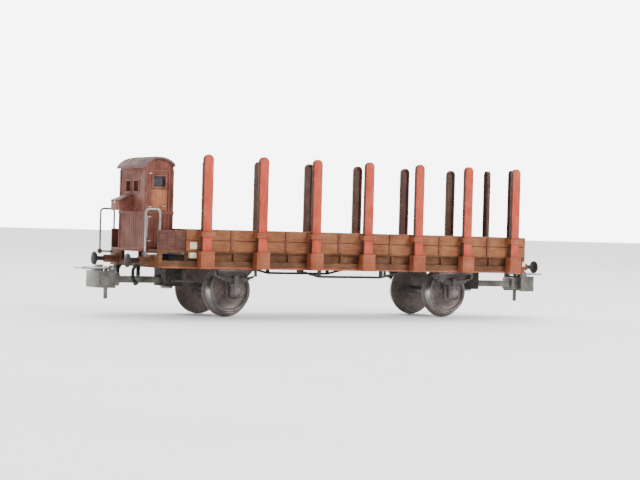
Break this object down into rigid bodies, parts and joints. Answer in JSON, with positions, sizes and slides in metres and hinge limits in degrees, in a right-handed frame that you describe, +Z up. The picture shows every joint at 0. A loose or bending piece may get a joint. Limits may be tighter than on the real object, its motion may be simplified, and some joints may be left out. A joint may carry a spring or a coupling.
{
  "type": "model flat car",
  "caption": "Model railway flat car with low sides, lift-out stakes and a brakeman's cab, on two wheelsets with swinging loop couplers.",
  "frame": {"origin": "midway along the car and across it, on the level of the wheel flanges' lowest points", "axes": "+X along the car away from the brakeman's cab, +Y across it to the far side, +Z up"},
  "size_m": [0.136, 0.033, 0.0393],
  "materials": {
    "stake_brown": "moulded plastic, satin",
    "body_brown": "moulded plastic, satin",
    "sole_brown": "moulded plastic, satin",
    "cab_brown": "moulded plastic, satin",
    "frame_brown_dark": "moulded plastic, satin",
    "deck_wood_plastic": "moulded plastic with plank joints",
    "frame_dark": "moulded plastic, matt black",
    "running_gear_dark": "moulded plastic, matt black",
    "roof_grey": "moulded plastic, matt dark grey",
    "cream_plate": "printed cream, matt",
    "clear_pane": "clear pane",
    "wheel_metal": "blackened metal, bright tread",
    "axle_steel": "bright turned steel",
    "steel_plate": "sheet steel",
    "wire_steel": "drawn wire",
    "coupler_metal": "blackened die-cast metal",
    "hose_black": "matt black"
  },
  "bodies": {
    "wagon": {"axle_guard_brake_far": "running_gear_dark", "axle_guard_brake_near": "running_gear_dark", "axle_guard_plain_far": "running_gear_dark", "axle_guard_plain_near": "running_gear_dark", "ballast_plate": "steel_plate", "brake_hose": "hose_black", "buffers": "running_gear_dark", "cab_box": "cab_brown", "cab_glazing": "clear_pane", "cab_roof": "roof_grey", "cab_walls": "cab_brown", "centre_beam": "frame_dark", "coupler_box_brake": "frame_dark", "coupler_box_plain": "frame_dark", "coupler_pivots": "steel_plate", "cross_beams": "frame_dark", "deck": "deck_wood_plastic", "end_board_brake": "body_brown", "end_board_plain": "body_brown", "handrails": "wire_steel", "headstock_brake": "sole_brown", "headstock_plain": "sole_brown", "label_plates": "cream_plate", "platform_floor": "frame_brown_dark", "platform_panels": "frame_brown_dark", "side_board_far": "body_brown", "side_board_near": "body_brown", "side_steps": "frame_dark", "solebar_far": "sole_brown", "solebar_near": "sole_brown", "stake_pockets_end": "body_brown", "stake_pockets_side": "body_brown", "truss_rods": "frame_dark"},
    "stake_near_1_body": {"stake_near_1": "stake_brown"},
    "stake_near_2_body": {"stake_near_2": "stake_brown"},
    "stake_near_3_body": {"stake_near_3": "stake_brown"},
    "stake_near_4_body": {"stake_near_4": "stake_brown"},
    "stake_near_5_body": {"stake_near_5": "stake_brown"},
    "stake_near_6_body": {"stake_near_6": "stake_brown"},
    "stake_near_7_body": {"stake_near_7": "stake_brown"},
    "stake_far_1_body": {"stake_far_1": "stake_brown"},
    "stake_far_2_body": {"stake_far_2": "stake_brown"},
    "stake_far_3_body": {"stake_far_3": "stake_brown"},
    "stake_far_4_body": {"stake_far_4": "stake_brown"},
    "stake_far_5_body": {"stake_far_5": "stake_brown"},
    "stake_far_6_body": {"stake_far_6": "stake_brown"},
    "stake_far_7_body": {"stake_far_7": "stake_brown"},
    "stake_end_near_body": {"stake_end_near": "stake_brown"},
    "stake_end_far_body": {"stake_end_far": "stake_brown"},
    "wheelset_brake": {"axle_brake": "axle_steel", "wheel_brake_near": "wheel_metal", "wheel_brake_far": "wheel_metal"},
    "coupler_brake": {"coupler_head_brake": "coupler_metal"},
    "coupling_loop_brake": {"coupler_loop_brake": "wire_steel"},
    "wheelset_plain": {"axle_plain": "axle_steel", "wheel_plain_near": "wheel_metal", "wheel_plain_far": "wheel_metal"},
    "coupler_plain": {"coupler_head_plain": "coupler_metal"},
    "coupling_loop_plain": {"coupler_loop_plain": "wire_steel"}
  },
  "joints": [
    {"name": "stake_near_1_lift", "type": "slide", "parent": "wagon", "child": "stake_near_1_body", "axis": [0, 0, 1], "range_m": [0, 0.009]},
    {"name": "stake_near_2_lift", "type": "slide", "parent": "wagon", "child": "stake_near_2_body", "axis": [0, 0, 1], "range_m": [0, 0.009]},
    {"name": "stake_near_3_lift", "type": "slide", "parent": "wagon", "child": "stake_near_3_body", "axis": [0, 0, 1], "range_m": [0, 0.009]},
    {"name": "stake_near_4_lift", "type": "slide", "parent": "wagon", "child": "stake_near_4_body", "axis": [0, 0, 1], "range_m": [0, 0.009]},
    {"name": "stake_near_5_lift", "type": "slide", "parent": "wagon", "child": "stake_near_5_body", "axis": [0, 0, 1], "range_m": [0, 0.009]},
    {"name": "stake_near_6_lift", "type": "slide", "parent": "wagon", "child": "stake_near_6_body", "axis": [0, 0, 1], "range_m": [0, 0.009]},
    {"name": "stake_near_7_lift", "type": "slide", "parent": "wagon", "child": "stake_near_7_body", "axis": [0, 0, 1], "range_m": [0, 0.009]},
    {"name": "stake_far_1_lift", "type": "slide", "parent": "wagon", "child": "stake_far_1_body", "axis": [0, 0, 1], "range_m": [0, 0.009]},
    {"name": "stake_far_2_lift", "type": "slide", "parent": "wagon", "child": "stake_far_2_body", "axis": [0, 0, 1], "range_m": [0, 0.009]},
    {"name": "stake_far_3_lift", "type": "slide", "parent": "wagon", "child": "stake_far_3_body", "axis": [0, 0, 1], "range_m": [0, 0.009]},
    {"name": "stake_far_4_lift", "type": "slide", "parent": "wagon", "child": "stake_far_4_body", "axis": [0, 0, 1], "range_m": [0, 0.009]},
    {"name": "stake_far_5_lift", "type": "slide", "parent": "wagon", "child": "stake_far_5_body", "axis": [0, 0, 1], "range_m": [0, 0.009]},
    {"name": "stake_far_6_lift", "type": "slide", "parent": "wagon", "child": "stake_far_6_body", "axis": [0, 0, 1], "range_m": [0, 0.009]},
    {"name": "stake_far_7_lift", "type": "slide", "parent": "wagon", "child": "stake_far_7_body", "axis": [0, 0, 1], "range_m": [0, 0.009]},
    {"name": "stake_end_near_lift", "type": "slide", "parent": "wagon", "child": "stake_end_near_body", "axis": [0, 0, 1], "range_m": [0, 0.009]},
    {"name": "stake_end_far_lift", "type": "slide", "parent": "wagon", "child": "stake_end_far_body", "axis": [0, 0, 1], "range_m": [0, 0.009]},
    {"name": "wheelset_brake_roll", "type": "hinge", "parent": "wagon", "child": "wheelset_brake", "pos_m": [-0.0319, 0, 0.0066], "axis": [0, 1, 0], "continuous": true},
    {"name": "coupler_brake_swing", "type": "hinge", "parent": "wagon", "child": "coupler_brake", "pos_m": [-0.0444, 0, 0.0087], "axis": [0, 0, 1], "range_deg": [-12, 12]},
    {"name": "loop_brake_lift", "type": "hinge", "parent": "coupler_brake", "child": "coupling_loop_brake", "pos_m": [-0.0606, 0, 0.0114], "axis": [0, 1, 0], "range_deg": [0, 16]},
    {"name": "wheelset_plain_roll", "type": "hinge", "parent": "wagon", "child": "wheelset_plain", "pos_m": [0.0319, 0, 0.0066], "axis": [0, 1, 0], "continuous": true},
    {"name": "coupler_plain_swing", "type": "hinge", "parent": "wagon", "child": "coupler_plain", "pos_m": [0.0444, 0, 0.0087], "axis": [0, 0, 1], "range_deg": [-12, 12]},
    {"name": "loop_plain_lift", "type": "hinge", "parent": "coupler_plain", "child": "coupling_loop_plain", "pos_m": [0.0606, 0, 0.0114], "axis": [0, -1, 0], "range_deg": [0, 16]}
  ]
}
